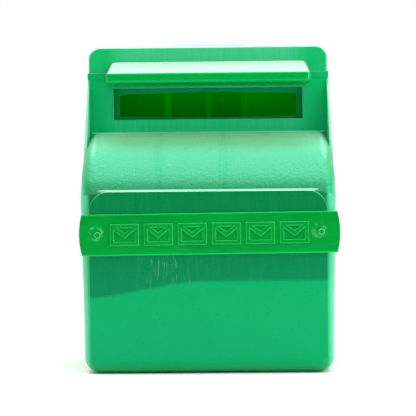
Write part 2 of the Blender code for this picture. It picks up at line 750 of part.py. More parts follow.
def lid():
    """The cap over the top opening, with side lips that locate it and knuckles along its rear wall."""
    obj = prism("lid", lid_outline(0, LID_BOTTOM - 2 * LID_EDGE), LID_REAR, PANEL_DEPTH, FRONT_VIEW)
    round_edges(obj, LID_EDGE, 3, 60)
    bottom_trim = (-WIDTH, -DEPTH, BASE + LID_BOTTOM - REACH)
    cut(obj, box("lid_trim", bottom_trim, (WIDTH, REACH, BASE + LID_BOTTOM)))
    inside = lid_outline(WALL, LID_BOTTOM - REACH)
    cut(obj, prism("lid_inside", inside, LID_REAR + WALL, PANEL_DEPTH - WALL, FRONT_VIEW))
    lip_outer = half_width(RIM_HEIGHT, WALL) - LIP_GAP
    for name, side in SIDES.items():
        near, far = sorted((side * (lip_outer - LIP_THICKNESS), side * lip_outer))
        foot, far_foot = sorted((side * (lip_outer - LIP_THICKNESS / 2), side * (LID_HALF - WALL / 2)))
        front = -PANEL_DEPTH + LIP_FROM_FRONT
        back = front + LIP_LENGTH
        lip_low = (near, front, BASE + LID_BOTTOM - LIP_DROP)
        shelf_low = (foot, front + SKIN, BASE + LID_BOTTOM + WALL / 2)
        shelf_high = (far_foot, back - SKIN, BASE + LID_BOTTOM + 2 * WALL)
        lip = box(f"lip_{name}", lip_low, (far, back, BASE + LID_BOTTOM + 1.5 * WALL))
        join(obj, lip, box(f"lip_shelf_{name}", shelf_low, shelf_high))
        notch_half = PLATE_KNUCKLE / 2 + KNUCKLE_GAP
        notch_low = (side * HINGE_X - notch_half, -LID_REAR - 2 * WALL, BASE + LID_BOTTOM - REACH)
        notch_high = (side * HINGE_X + notch_half, REACH, BASE + LID_TOP - WALL + SKIN)
        cut(obj, box(f"notch_{name}", notch_low, notch_high))
        eye_frame = across(side * HINGE_X, -HINGE_FROM_WALL, BASE + HINGE_Z)
        for end in (-1, 1):
            inner = end * (notch_half + SKIN)
            outer = end * (notch_half + LID_KNUCKLE)
            start, stop = sorted((inner, outer))
            join(obj, rod(f"lid_eye_{name}_{end}", KNUCKLE_RADIUS, start, stop, eye_frame))
            near_x, far_x = sorted(side * HINGE_X + outer + end * reach for reach in (SKIN, PIN_END_ROOM))
            window_low = (near_x, -LID_REAR - 2 * WALL, BASE + HINGE_Z - KNUCKLE_RADIUS - HOLE_GAP)
            window_high = (far_x, REACH, BASE + LID_TOP - WALL + 2 * SKIN)
            cut(obj, box(f"pin_window_{name}_{end}", window_low, window_high))
        bore_half = notch_half + LID_KNUCKLE + PIN_END_ROOM / 2
        cut(obj, rod(f"lid_bore_{name}", PIN_RADIUS + HOLE_GAP, -bore_half, bore_half, eye_frame))
        screw_hole = rod(
            f"visor_hole_{name}",
            SCREW_RADIUS + HOLE_GAP,
            -REACH / 2,
            REACH / 2,
            facing(side * VISOR_SCREW_X, -PANEL_DEPTH, BASE + VISOR_SCREW_Z),
        )
        cut(obj, screw_hole)
    return finish(obj, LID_PLASTIC)


def visor_outline(inset, back):
    """Side outline of the visor as depth and height, with a sloping top and an upright lip."""
    front = PANEL_DEPTH + TOUCH_GAP + VISOR_PROJECTION
    top = RIM_HEIGHT + VISOR_TOP_ABOVE_RIM
    turn = RIM_HEIGHT - VISOR_BREAK_BELOW_RIM
    bottom = RIM_HEIGHT - VISOR_BOTTOM_BELOW_RIM
    slope = math.degrees(math.atan2(top - turn, VISOR_PROJECTION))
    lean = math.radians(slope)
    below_turn = VISOR_BREAK_ROUND * (1 / math.cos(lean) - math.tan(lean))
    break_centre = (front - VISOR_BREAK_ROUND, turn - below_turn)
    round_break = arc(break_centre, VISOR_BREAK_ROUND - inset, 0, 90 - slope, 4)
    last_depth, last_height = round_break[-1]
    back_height = last_height + (last_depth - back) * math.tan(lean)
    lip_centre = (front - VISOR_LIP_ROUND, bottom + VISOR_LIP_ROUND)
    outline = [(back, bottom + inset)]
    outline += arc(lip_centre, max(VISOR_LIP_ROUND - inset, 2 * SKIN), -90, 0, 3)
    outline += round_break
    return outline + [(back, back_height)]


def visor_form(name, inset, back):
    """The visor's outer form, or one set in from it, with round ends drawn in towards their top."""
    obj = prism(name, visor_outline(inset, back), inset - VISOR_HALF, VISOR_HALF - inset, SIDE_VIEW)
    break_height = RIM_HEIGHT - VISOR_BREAK_BELOW_RIM
    rise = VISOR_TOP_ABOVE_RIM + VISOR_BREAK_BELOW_RIM
    bm = bmesh.new()
    bm.from_mesh(obj.data)
    round_chosen(bm, end_edges(bm), VISOR_END_ROUND - inset, 3)
    geometry = bm.verts[:] + bm.edges[:] + bm.faces[:]
    bmesh.ops.bisect_plane(bm, geom=geometry, plane_co=(0, 0, BASE + break_height), plane_no=(0, 0, 1))
    for vert in bm.verts:
        above = max(vert.co.z - BASE - break_height, 0.0) / rise
        vert.co.x += VISOR_SHIFT - math.copysign(VISOR_END_SLOPE * above, vert.co.x)
    bm.to_mesh(obj.data)
    bm.free()
    return obj


def visor():
    """The hood over the slot: a hollow moulding, open at the back, screwed to the lid from inside."""
    back = PANEL_DEPTH + TOUCH_GAP
    obj = visor_form("visor", 0.0, back - REACH / 2)
    trim_low = (-WIDTH, -back, BASE)
    cut(obj, box("visor_trim", trim_low, (WIDTH, REACH, BASE + TAB_TOP)))
    step_high = (WIDTH, REACH, BASE + LID_BOTTOM + TOUCH_GAP)
    cut(obj, box("visor_step", (-WIDTH, -back - VISOR_STEP, BASE), step_high))
    cut(obj, visor_form("visor_inside", VISOR_WALL, PANEL_DEPTH - 2 * REACH))
    for name, side in SIDES.items():
        frame = facing(side * VISOR_SCREW_X, -back, BASE + VISOR_SCREW_Z)
        pilot_depth = VISOR_SCREW_LENGTH - WALL - TOUCH_GAP
        join(obj, rod(f"visor_boss_{name}", VISOR_BOSS_RADIUS, SKIN, VISOR_BOSS_LENGTH, frame))
        cut(obj, rod(f"visor_pilot_{name}", SCREW_RADIUS + HOLE_GAP, -REACH, pilot_depth, frame))
    return finish(obj, VISOR_PLASTIC)


def visor_screws():
    """Screws from inside the lid into the visor's bosses."""
    return [
        screw(
            f"visor_screw_{name}",
            facing(side * VISOR_SCREW_X, -PANEL_DEPTH + WALL + TOUCH_GAP, BASE + VISOR_SCREW_Z),
            VISOR_SCREW_LENGTH,
        )
        for name, side in SIDES.items()
    ]


def hinge_pins():
    """A headed pin for each hinge, put in from the outer side and held by a push-on cap."""
    stack = PLATE_KNUCKLE / 2 + KNUCKLE_GAP + LID_KNUCKLE
    for name, side in SIDES.items():
        frame = across(side * HINGE_X, -HINGE_FROM_WALL, BASE + HINGE_Z) @ Matrix.Rotation(
            math.radians(0 if side > 0 else 180), 4, "X"
        )
        head_start = stack + TOUCH_GAP
        cap_start = -stack - TOUCH_GAP - CAP_LENGTH
        tip = cap_start - PIN_PAST_CAP
        pin = rod(f"hinge_pin_{name}", PIN_RADIUS, tip, head_start + PIN_HEAD / 2, frame)
        join(pin, rod(f"hinge_pin_head_{name}", PIN_HEAD_RADIUS, head_start, head_start + PIN_HEAD, frame))
        finish(pin, STEEL)
        cap = rod(f"pin_cap_{name}", CAP_RADIUS, cap_start, cap_start + CAP_LENGTH, frame)
        cut(cap, rod(f"cap_bore_{name}", PIN_RADIUS + HOLE_GAP, -REACH * 2, REACH * 2, frame))
        finish(cap, STEEL)


def hang_on_hinge(*pieces):
    """Give the moving pieces a parent on the hinge axis."""
    axis = bpy.data.objects.new("lid_hinge_axis", None)
    axis.location = (0, -HINGE_FROM_WALL, BASE + HINGE_Z)
    PARTS.objects.link(axis)
    bpy.context.view_layer.update()
    for piece in pieces:
        piece.parent = axis
        piece.matrix_parent_inverse = axis.matrix_world.inverted()


front_shell()
back_plate()
plate_screws()
name_band()
band_pins()
hinge_pins()
hang_on_hinge(lid(), visor(), *visor_screws())
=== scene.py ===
"""Looks of a wall mounted mailbox: moulded green plastic, a lid with a rain visor and a sign band.

It follows the box as it is put together, one section for each piece or group of like pieces.
Metres, +Z up."""

import math

import bpy
from mathutils import Matrix, Vector


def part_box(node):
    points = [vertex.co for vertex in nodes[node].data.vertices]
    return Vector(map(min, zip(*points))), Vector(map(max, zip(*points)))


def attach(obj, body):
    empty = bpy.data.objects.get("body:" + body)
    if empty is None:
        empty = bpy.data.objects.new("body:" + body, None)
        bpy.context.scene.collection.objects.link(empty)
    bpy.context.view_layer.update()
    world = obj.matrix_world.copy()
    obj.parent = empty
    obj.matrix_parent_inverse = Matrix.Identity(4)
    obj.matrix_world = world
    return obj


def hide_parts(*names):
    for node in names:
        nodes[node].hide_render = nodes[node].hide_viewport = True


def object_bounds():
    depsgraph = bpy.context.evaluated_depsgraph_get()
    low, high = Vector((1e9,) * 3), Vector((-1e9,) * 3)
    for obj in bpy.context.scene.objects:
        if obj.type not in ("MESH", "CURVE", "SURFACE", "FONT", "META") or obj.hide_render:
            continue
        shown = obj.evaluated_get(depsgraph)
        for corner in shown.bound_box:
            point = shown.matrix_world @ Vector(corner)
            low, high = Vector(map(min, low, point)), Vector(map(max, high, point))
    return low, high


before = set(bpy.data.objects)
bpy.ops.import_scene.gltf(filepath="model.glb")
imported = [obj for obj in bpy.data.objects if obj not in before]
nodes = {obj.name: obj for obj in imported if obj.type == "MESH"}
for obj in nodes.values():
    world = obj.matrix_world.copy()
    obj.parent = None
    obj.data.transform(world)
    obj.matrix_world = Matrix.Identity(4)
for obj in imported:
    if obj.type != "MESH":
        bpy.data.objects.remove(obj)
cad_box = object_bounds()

scene = bpy.context.scene

# ---------------------------------------------------------------------------------------------------------
# Studio. The box stands on a sweep of white paper in a pale room. One large softbox hangs over it, a smaller
# one stands to its right, and the room is dark on the viewer's side, so the front faces stay deep green.
LENS = 87.1
SHIFT_UP = 0.0026
SENSOR = 36.0
EYE_SIDE = 0.014
EYE_DISTANCE = 1.139
EYE_HEIGHT = 0.164
FRONT_PLANE = -0.1385
ROLL = math.radians(-0.5)
PAPER_GLOW_FROM = 0.20
PAPER_GLOW_FULL = 0.70
PAPER_GLOW = 0.25
SWEEP_WIDTH = 4.4
SWEEP_FRONT = -3.0
SWEEP_BACK = 3.0

underside = cad_box[0][2]
eye = Vector((EYE_SIDE, -EYE_DISTANCE, underside + EYE_HEIGHT))
target = Vector((0.0, FRONT_PLANE, underside + EYE_HEIGHT))
bpy.ops.object.camera_add(location=eye, rotation=(target - eye).to_track_quat("-Z", "Y").to_euler())
camera = bpy.context.object
camera.name = "viewer"
camera.data.lens = LENS
camera.data.sensor_width = SENSOR
camera.data.shift_y = SHIFT_UP
camera.rotation_euler.rotate_axis("Z", ROLL)
scene.camera = camera
scene.view_settings.view_transform = "Standard"

world = bpy.data.worlds.new("pale_room")
scene.world = world
world.use_nodes = True
tree = world.node_tree
tree.nodes.clear()
direction = tree.nodes.new("ShaderNodeTexCoord")
split = tree.nodes.new("ShaderNodeSeparateXYZ")
front_to_back = tree.nodes.new("ShaderNodeMapRange")
front_to_back.interpolation_type = "SMOOTHSTEP"
front_to_back.inputs["From Min"].default_value = -0.95
front_to_back.inputs["From Max"].default_value = 0.0
front_to_back.inputs["To Min"].default_value = 0.22
front_to_back.inputs["To Max"].default_value = 1.25
room = tree.nodes.new("ShaderNodeBackground")
output = tree.nodes.new("ShaderNodeOutputWorld")
tree.links.new(direction.outputs["Generated"], split.inputs["Vector"])
tree.links.new(split.outputs["Y"], front_to_back.inputs["Value"])
tree.links.new(front_to_back.outputs["Result"], room.inputs["Strength"])
tree.links.new(room.outputs["Background"], output.inputs["Surface"])


def softbox(name, place, facing, size, energy):
    """A rectangular studio light at a place, turned to face a point."""
    turn = (Vector(facing) - Vector(place)).to_track_quat("-Z", "Y").to_euler()
    bpy.ops.object.light_add(type="AREA", location=place, rotation=turn)
    light = bpy.context.object
    light.name = name
    light.data.shape = "RECTANGLE"
    light.data.size, light.data.size_y = size
    light.data.energy = energy


softbox("overhead_softbox", (0.0, -0.30, 1.30), (0.0, -0.10, 0.0), (2.4, 2.0), 38)
softbox("right_softbox", (1.30, -0.75, 0.45), (0.0, -0.10, 0.0), (0.7, 0.9), 9)

bpy.ops.mesh.primitive_grid_add(x_subdivisions=2, y_subdivisions=40, size=1.0)
sweep = bpy.context.object
sweep.name = "paper_sweep"
sweep.scale = (SWEEP_WIDTH, SWEEP_BACK - SWEEP_FRONT, 1.0)
sweep.location = (0.0, (SWEEP_FRONT + SWEEP_BACK) / 2, underside - 0.0003)
bpy.ops.object.transform_apply(location=True, rotation=True, scale=True)
paper = bpy.data.materials.new("white_paper")
paper.use_nodes = True
paper_shader = paper.node_tree.nodes["Principled BSDF"]
paper_place = paper.node_tree.nodes.new("ShaderNodeTexCoord")
# The paper glows only away from the box, so that the box keeps its contact shadow.
from_box = paper.node_tree.nodes.new("ShaderNodeVectorMath")
from_box.operation = "LENGTH"
far_glow = paper.node_tree.nodes.new("ShaderNodeMapRange")
far_glow.inputs["From Min"].default_value = PAPER_GLOW_FROM
far_glow.inputs["From Max"].default_value = PAPER_GLOW_FULL
far_glow.inputs["To Max"].default_value = PAPER_GLOW
paper.node_tree.links.new(paper_place.outputs["Object"], from_box.inputs[0])
paper.node_tree.links.new(from_box.outputs["Value"], far_glow.inputs["Value"])
paper.node_tree.links.new(far_glow.outputs["Result"], paper_shader.inputs["Emission Strength"])
paper_shader.inputs["Base Color"].default_value = (0.84, 0.83, 0.81, 1)
paper_shader.inputs["Roughness"].default_value = 0.9
paper_shader.inputs["Specular IOR Level"].default_value = 0.1
paper_shader.inputs["Emission Color"].default_value = (1, 1, 1, 1)
sweep.data.materials.append(paper)

# ---------------------------------------------------------------------------------------------------------
# Front shell. One injection moulding of green polypropylene with the underside, front, sides, shoulder and
# slot panel. Its outside has a fine orange peel, drag marks from the mould and scuffs from handling.
MERGE = 0.00007
SHELL_EDGE = 0.0003
PEEL_SCALE = 420.0
GRAIN_SCALE = 1500.0
SMOOTH_ANGLE = math.radians(36)
SOFTENED_ANGLE = math.radians(40)
DRAG_MARKS = ((-0.053, -0.048), (0.012, 0.018))
RECESS_HEIGHTS = (0.0822, 0.1205)
RECESS_HALF = 0.1025
FOOT_LINE = (0.0700, 0.0710)
CREST_LINE = (0.0070, 0.0084)
PARTING_LINE = (0.1337, 0.1342)
SCUFFED_X = -0.038
SCUFFED_Z = -0.070


def moulded_copy(node_name, piece_name, edge, steps=2):
    """A merged copy of a frame piece whose sharp edges are softened, as they leave a mould."""
    bpy.ops.object.select_all(action="DESELECT")
    piece = bpy.data.objects.new(piece_name, nodes[node_name].data.copy())
    scene.collection.objects.link(piece)
    piece.data.materials.clear()
    piece.select_set(True)
    bpy.context.view_layer.objects.active = piece
    bpy.ops.object.mode_set(mode="EDIT")
    bpy.ops.mesh.select_all(action="SELECT")
    bpy.ops.mesh.customdata_custom_splitnormals_clear()
    bpy.ops.mesh.remove_doubles(threshold=MERGE)
    bpy.ops.mesh.dissolve_degenerate(threshold=MERGE / 10)
    bpy.ops.mesh.dissolve_limited(angle_limit=math.radians(0.6))
    bpy.ops.object.mode_set(mode="OBJECT")
    if edge:
        bevel = piece.modifiers.new("softened_edges", "BEVEL")
        bevel.width = edge
        bevel.segments = steps
        bevel.limit_method = "ANGLE"
        bevel.angle_limit = SOFTENED_ANGLE
        bevel.use_clamp_overlap = False
        bevel.miter_outer = "MITER_ARC"
        bpy.ops.object.modifier_apply(modifier=bevel.name)
    bpy.ops.object.shade_smooth_by_angle(angle=SMOOTH_ANGLE)
    even = piece.modifiers.new("even_shading", "WEIGHTED_NORMAL")
    even.keep_sharp = True
    bpy.ops.object.modifier_apply(modifier=even.name)
    return piece


class Recipe:
    """Nodes of one material, with short ways to add and link them."""

    def __init__(self, name):
        self.material = bpy.data.materials.new(name)
        self.material.use_nodes = True
        self.tree = self.material.node_tree
        self.shader = self.tree.nodes["Principled BSDF"]
        self.place = self.tree.nodes.new("ShaderNodeTexCoord").outputs["Object"]
        self.axes = self.tree.nodes.new("ShaderNodeSeparateXYZ")
        self.tree.links.new(self.place, self.axes.inputs[0])
        self.normal = self.tree.nodes.new("ShaderNodeSeparateXYZ")
        geometry = self.tree.nodes.new("ShaderNodeNewGeometry")
        self.tree.links.new(geometry.outputs["Normal"], self.normal.inputs[0])

    def link(self, value, socket):
        """Link an output to a socket, or write a plain value in it."""
        if isinstance(value, bpy.types.NodeSocket):
            self.tree.links.new(value, socket)
        else:
            socket.default_value = value

    def noise(self, scale, stretch=(1, 1, 1), detail=3.0, rough=0.55, centre=(0, 0, 0)):
        """Noise over the piece, stretched along its axes."""
        mapping = self.tree.nodes.new("ShaderNodeMapping")
        mapping.inputs["Location"].default_value = centre
        mapping.inputs["Scale"].default_value = stretch
        self.tree.links.new(self.place, mapping.inputs["Vector"])
        noise = self.tree.nodes.new("ShaderNodeTexNoise")
        noise.inputs["Scale"].default_value = scale
        noise.inputs["Detail"].default_value = detail
        noise.inputs["Roughness"].default_value = rough
        self.tree.links.new(mapping.outputs[0], noise.inputs["Vector"])
        return noise.outputs["Fac"]

    def cells(self, scale, stretch=(1, 1, 1)):
        """Distance to scattered points over the piece."""
        mapping = self.tree.nodes.new("ShaderNodeMapping")
        mapping.inputs["Scale"].default_value = stretch
        self.tree.links.new(self.place, mapping.inputs["Vector"])
        cells = self.tree.nodes.new("ShaderNodeTexVoronoi")
        cells.inputs["Scale"].default_value = scale
        self.tree.links.new(mapping.outputs[0], cells.inputs["Vector"])
        return cells.outputs["Distance"]

    def ramp(self, value, low, high, start=0.0, end=1.0):
        """A value turned into a smooth step between two others."""
        step = self.tree.nodes.new("ShaderNodeMapRange")
        step.interpolation_type = "SMOOTHSTEP"
        step.inputs["From Min"].default_value = low
        step.inputs["From Max"].default_value = high
        step.inputs["To Min"].default_value = start
        step.inputs["To Max"].default_value = end
        self.link(value, step.inputs["Value"])
        return step.outputs["Result"]

    def between(self, value, limits, soft):
        """A mask over the stretch between two limits, fading out beyond each of them."""
        low, high = limits
        return self.times(self.ramp(value, low - soft, low), self.ramp(value, high + soft, high))

    def maths(self, operation, first, second=0.0, third=0.0):
        """One arithmetic step."""
        node = self.tree.nodes.new("ShaderNodeMath")
        node.operation = operation
        self.link(first, node.inputs[0])
        self.link(second, node.inputs[1])
        if operation == "MULTIPLY_ADD":
            self.link(third, node.inputs[2])
        return node.outputs[0]

    def times(self, *values):
        """Masks multiplied together."""
        product = values[0]
        for value in values[1:]:
            product = self.maths("MULTIPLY", product, value)
        return product

    def mix(self, amount, first, second):
        """One colour blended into another."""
        node = self.tree.nodes.new("ShaderNodeMix")
        node.data_type = "RGBA"
        self.link(amount, node.inputs["Factor"])
        for socket, colour in ((node.inputs["A"], first), (node.inputs["B"], second)):
            self.link((*colour, 1.0) if isinstance(colour, tuple) else colour, socket)
        return node.outputs["Result"]

    def bump(self, height, strength, distance, under=None):
        """A bump from a height, over another bump."""
        node = self.tree.nodes.new("ShaderNodeBump")
        node.inputs["Strength"].default_value = strength
        node.inputs["Distance"].default_value = distance
        self.link(height, node.inputs["Height"])
        if under is not None:
            self.link(under, node.inputs["Normal"])
        return node.outputs["Normal"]

    def finish(self, colour, roughness, normal, level=1.0, tint=(0.06, 1.0, 0.7)):
        """Link what was made to the shader."""
        self.link(colour, self.shader.inputs["Base Color"])
        self.link(roughness, self.shader.inputs["Roughness"])
        self.link(normal, self.shader.inputs["Normal"])
        self.shader.inputs["Specular IOR Level"].default_value = level
        self.shader.inputs["Specular Tint"].default_value = (*tint, 1.0)
        return self.material


def shell_outside():
    """Outside of the shell: deep green front in painted shade, hazed panel, painted sheen on the shoulder.
    """
    made = Recipe("shell_outside")
    x, y, z = made.axes.outputs
    up = made.normal.outputs[2]
    patches = made.noise(16.0, detail=4.0)
    streaks = made.noise(60.0, (9, 9, 0.35), 5.0, 0.7)
    fine_streaks = made.noise(90.0, (14, 14, 0.5), 4.0, 0.75, (3, 1, 2))
    level_streaks = made.noise(70.0, (0.5, 6, 10), 4.0, 0.7)
    peel = made.noise(PEEL_SCALE, (1, 1, 1), 2.0, 0.5)
    grain = made.noise(GRAIN_SCALE, (1, 1, 1), 2.0, 0.6)
    side = made.maths("ABSOLUTE", x)
    on_front = made.ramp(y, -0.128, -0.136)
    on_panel = made.ramp(y, -0.088, -0.078)
    on_shoulder = made.times(made.ramp(up, 0.16, 0.45), made.ramp(y, -0.066, -0.072))
    middle = made.ramp(side, 0.118, 0.085)
    # Painted shade: the front faces are painted a deep green, darker than the rest of the shell.
    deep = (0.0, 0.140, 0.021)
    fresh = (0.0, 0.34, 0.075)
    hazed = (0.020, 0.38, 0.150)
    pale = (0.09, 0.37, 0.18)
    colour = made.mix(made.ramp(patches, 0.3, 0.7), fresh, (0.0, 0.31, 0.068))
    haze = made.times(on_panel, middle, made.ramp(streaks, 0.25, 0.75, 0.35, 1.0))
    colour = made.mix(haze, colour, hazed)
    # A painted reflection of the floor: a lower, brighter zone starts along a line that bends down
    # towards the left side.
    reflection_bend = made.ramp(x, -0.005, -0.125, 0.0, 0.016)
    floor_reflection = made.ramp(made.maths("ADD", z, reflection_bend), -0.0805, -0.0850)
    front = made.mix(floor_reflection, deep, (0.001, 0.285, 0.068))
    front = made.mix(made.times(made.ramp(streaks, 0.45, 0.8), 0.22), front, (0.01, 0.33, 0.13))
    pad_haze = made.times(made.ramp(level_streaks, 0.5, 0.8), made.ramp(z, -0.02, 0.0), 0.15)
    front = made.mix(pad_haze, front, hazed)
    colour = made.mix(on_front, colour, front)
    # Painted sheen: the upward-facing shoulder is painted pale, paler towards its top, as if lit from above.
    shoulder_sheen = made.mix(made.ramp(fine_streaks, 0.3, 0.75), pale, (0.035, 0.31, 0.14))
    shoulder_sheen = made.mix(made.ramp(z, 0.040, 0.068), shoulder_sheen, (0.15, 0.43, 0.23))
    # Two bundles of fine lines run down the shoulder where the mould dragged.
    drag = made.maths("MAXIMUM", *(made.between(x, mark, 0.003) for mark in DRAG_MARKS))
    drag_lines = made.noise(90.0, (14, 0.2, 0.2), 3.0, 0.7, (5, 2, 1))
    drag = made.times(drag, made.ramp(drag_lines, 0.46, 0.58), 0.45)
    shoulder_sheen = made.mix(drag, shoulder_sheen, (0.0, 0.26, 0.10))
    on_shoulder = made.times(on_shoulder, made.ramp(side, 0.127, 0.112, 0.75, 1.0))
    colour = made.mix(on_shoulder, colour, shoulder_sheen)
    # Painted sheen: the thin webs beside the panel are painted paler on their inner faces and front edges.
    outward = made.times(x, made.normal.outputs[0])
    web_sheen = made.times(
        made.ramp(side, 0.114, 0.119),
        made.ramp(y, -0.0722, -0.0745),
        made.ramp(z, 0.035, 0.050),
        made.ramp(outward, 0.08, 0.02),
    )
    colour = made.mix(made.times(web_sheen, 0.85), colour, (0.20, 0.60, 0.38))
    # Painted shade: the walls inside the slot recess are painted darker.
    recess_shade = made.times(
        made.ramp(y, -0.0708, -0.0694),
        made.ramp(side, RECESS_HALF + 0.0010, RECESS_HALF),
        made.between(z, RECESS_HEIGHTS, 0.0010),
    )
    colour = made.mix(recess_shade, colour, (0.0, 0.19, 0.024))
    # Painted highlight: a thin pale line along the foot of the panel.
    foot_highlight = made.times(
        made.between(z, FOOT_LINE, 0.0006),
        made.ramp(y, -0.0760, -0.0740),
        made.ramp(side, 0.1235, 0.1225),
    )
    colour = made.mix(made.times(foot_highlight, 0.7), colour, (0.20, 0.62, 0.38))
    # Painted highlight: a pale line along the crest at the top of the front.
    crest_highlight = made.times(made.between(z, CREST_LINE, 0.0008), on_front, made.ramp(side, 0.112, 0.104))
    colour = made.mix(made.times(crest_highlight, 0.9), colour, (0.42, 0.82, 0.62))
    # Painted highlight: a pale line along the rim at the parting line with the lid.
    parting_highlight = made.times(made.ramp(z, *PARTING_LINE), 0.6)
    colour = made.mix(parting_highlight, colour, (0.22, 0.66, 0.42))
    scuffs = made.times(
        made.ramp(made.noise(130.0, (3.0, 1, 0.3), 6.0, 0.75, (1, 4, 2)), 0.56, 0.66),
        made.ramp(made.maths("ABSOLUTE", made.maths("ADD", x, -SCUFFED_X)), 0.042, 0.020),
        made.ramp(made.maths("ABSOLUTE", made.maths("ADD", z, -SCUFFED_Z)), 0.022, 0.006),
        on_front,
    )
    colour = made.mix(made.times(scuffs, 0.7), colour, (0.12, 0.33, 0.19))
    # Painted highlight: the rounded front corners are painted paler on their upright faces.
    front_corner = made.times(made.ramp(side, 0.1170, 0.1225), made.ramp(y, -0.118, -0.128))
    corner_highlight = made.times(front_corner, made.ramp(up, 0.3, 0.1))
    colour = made.mix(made.times(corner_highlight, 0.7), colour, (0.10, 0.56, 0.30))
    specks = made.times(made.ramp(made.cells(95.0), 0.060, 0.040), 0.15)
    colour = made.mix(specks, colour, (0.25, 0.62, 0.40))
    roughness = made.ramp(peel, 0.2, 0.8, 0.27, 0.31)
    roughness = made.maths("ADD", roughness, made.times(on_panel, 0.12))
    roughness = made.maths("ADD", roughness, made.times(made.ramp(scuffs, 0.0, 1.0), 0.2))
    strong = made.ramp(up, 0.0, 0.5, 0.06, 1.0)
    normal = made.bump(made.times(peel, strong), 0.60, 0.0010)
    normal = made.bump(streaks, 0.10, 0.0006, normal)
    normal = made.bump(grain, 0.08, 0.0002, normal)
    return made.finish(colour, roughness, normal)


# Strength of the painted green glow inside the shell.
PAINTED_DAYLIGHT_GLOW = 0.05


def shell_inside():
    """Inside of the shell: glossy and saturated, with a painted glow standing in for daylight through the
    wall.
    """
    made = Recipe("shell_inside")
    streaks = made.noise(50.0, (8, 8, 0.4), 3.0, 0.6)
    colour = made.mix(made.ramp(streaks, 0.3, 0.7), (0.0, 0.52, 0.012), (0.0, 0.60, 0.02))
    roughness = made.ramp(streaks, 0.2, 0.8, 0.3, 0.45)
    normal = made.bump(made.noise(PEEL_SCALE), 0.15, 0.0004)
    made.shader.inputs["Emission Color"].default_value = (0.0, 1.0, 0.0, 1.0)
    made.shader.inputs["Emission Strength"].default_value = PAINTED_DAYLIGHT_GLOW
    return made.finish(colour, roughness, normal, 0.5, (0.0, 1.0, 0.3))


shell = moulded_copy("front_shell", "front_shell_moulding", SHELL_EDGE)
shell.data.materials.append(shell_outside())
shell.data.materials.append(shell_inside())
SLOT_BACK = -0.0625
PANEL_BACK = -0.0690
REAR_RIM = -0.003
PANEL_FOOT = 0.0708
WEB_BACK = -0.0705
WEB_FOOT = 0.020
BODY_AXIS_Y = -0.06
PANEL_AXIS_Y = -0.03
FLOOR_REACH = 0.006
UNDERSIDE_SKIN = 0.0015


def is_inner(centre, normal):
    """Whether a face of the shell looks into the hollow of the box."""
    if REAR_RIM < centre.y and normal.y > 0.5:
        return False
    if centre.z < underside + FLOOR_REACH:
        return normal.z > 0.5 and underside + UNDERSIDE_SKIN < centre.z
    axis_y = BODY_AXIS_Y if centre.z < PANEL_FOOT else PANEL_AXIS_Y
    to_middle = Vector((0.0, axis_y, centre.z)) - centre
    looks_in = normal.dot(to_middle) > 0.0001
    if centre.y < WEB_BACK and WEB_FOOT < centre.z and abs(normal.x) > 0.7:
        return False
    if centre.z < PANEL_FOOT:
        return looks_in
    return looks_in and (SLOT_BACK < centre.y or (PANEL_BACK < centre.y and normal.y > 0.5))


for face in shell.data.polygons:
    if is_inner(face.center, face.normal):
        face.material_index = 1
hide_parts("front_shell")
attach(shell, "box")

# ---------------------------------------------------------------------------------------------------------
# Back plate. A moulding of the same green plastic that closes the shell from behind, with a strip that lies
# on the wall, a hanging tab over the lid and the fixed knuckles of the hinge.
def plate_green():
    """Plain green outside, with a painted highlight along the hanging tab."""
    made = Recipe("plate_green")
    z = made.axes.outputs[2]
    streaks = made.noise(60.0, (9, 9, 0.35), 4.0, 0.7)
    colour = made.mix(made.ramp(streaks, 0.3, 0.7), (0.0, 0.36, 0.085), (0.0, 0.31, 0.07))
    # Painted highlight: the hanging tab is painted pale.
    colour = made.mix(made.ramp(z, 0.155, 0.168), colour, (0.62, 0.92, 0.80))
    roughness = made.ramp(streaks, 0.2, 0.8, 0.3, 0.45)
    return made.finish(colour, roughness, made.bump(made.noise(PEEL_SCALE), 0.15, 0.0004))


def plate_inside():
    """Inner face of the plate: painted glow for daylight through its rib, its strip's edges and at the
    right.
    """
    made = Recipe("plate_inside")
    x = made.axes.outputs[0]
    streaks = made.noise(50.0, (8, 8, 0.4), 3.0, 0.6)
    light = made.ramp(x, 0.030, 0.046, 0.0, 0.55)
    for line, half in ((-0.046, 0.006), (-0.0005, 0.0045), (0.040, 0.005)):
        offset = made.maths("ABSOLUTE", made.maths("SUBTRACT", x, line))
        light = made.maths("MAXIMUM", light, made.ramp(offset, half, half / 4))
    painted_glow = made.mix(light, (0.0, 0.035, 0.0), (0.0, 0.085, 0.0))
    made.link(painted_glow, made.shader.inputs["Emission Color"])
    made.shader.inputs["Emission Strength"].default_value = 1.0
    colour = made.mix(made.ramp(streaks, 0.3, 0.7), (0.0, 0.30, 0.0), (0.0, 0.34, 0.0))
    roughness = made.ramp(streaks, 0.2, 0.8, 0.4, 0.5)
    normal = made.bump(made.noise(PEEL_SCALE), 0.15, 0.0004)
    return made.finish(colour, roughness, normal, 0.2, (0.0, 1.0, 0.0))


plate = moulded_copy("back_plate", "back_plate_moulding", 0.0)
plate.data.materials.append(plate_green())
plate.data.materials.append(plate_inside())
INSIDE_TOP = underside + 0.300
bpy.ops.object.mode_set(mode="EDIT")
bpy.ops.mesh.select_all(action="SELECT")
bpy.ops.mesh.bisect(plane_co=(0, 0, INSIDE_TOP), plane_no=(0, 0, 1))
bpy.ops.object.mode_set(mode="OBJECT")
for face in plate.data.polygons:
    if face.normal.y < -0.5 and face.center.z < INSIDE_TOP:
        face.material_index = 1
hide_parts("back_plate")
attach(plate, "box")


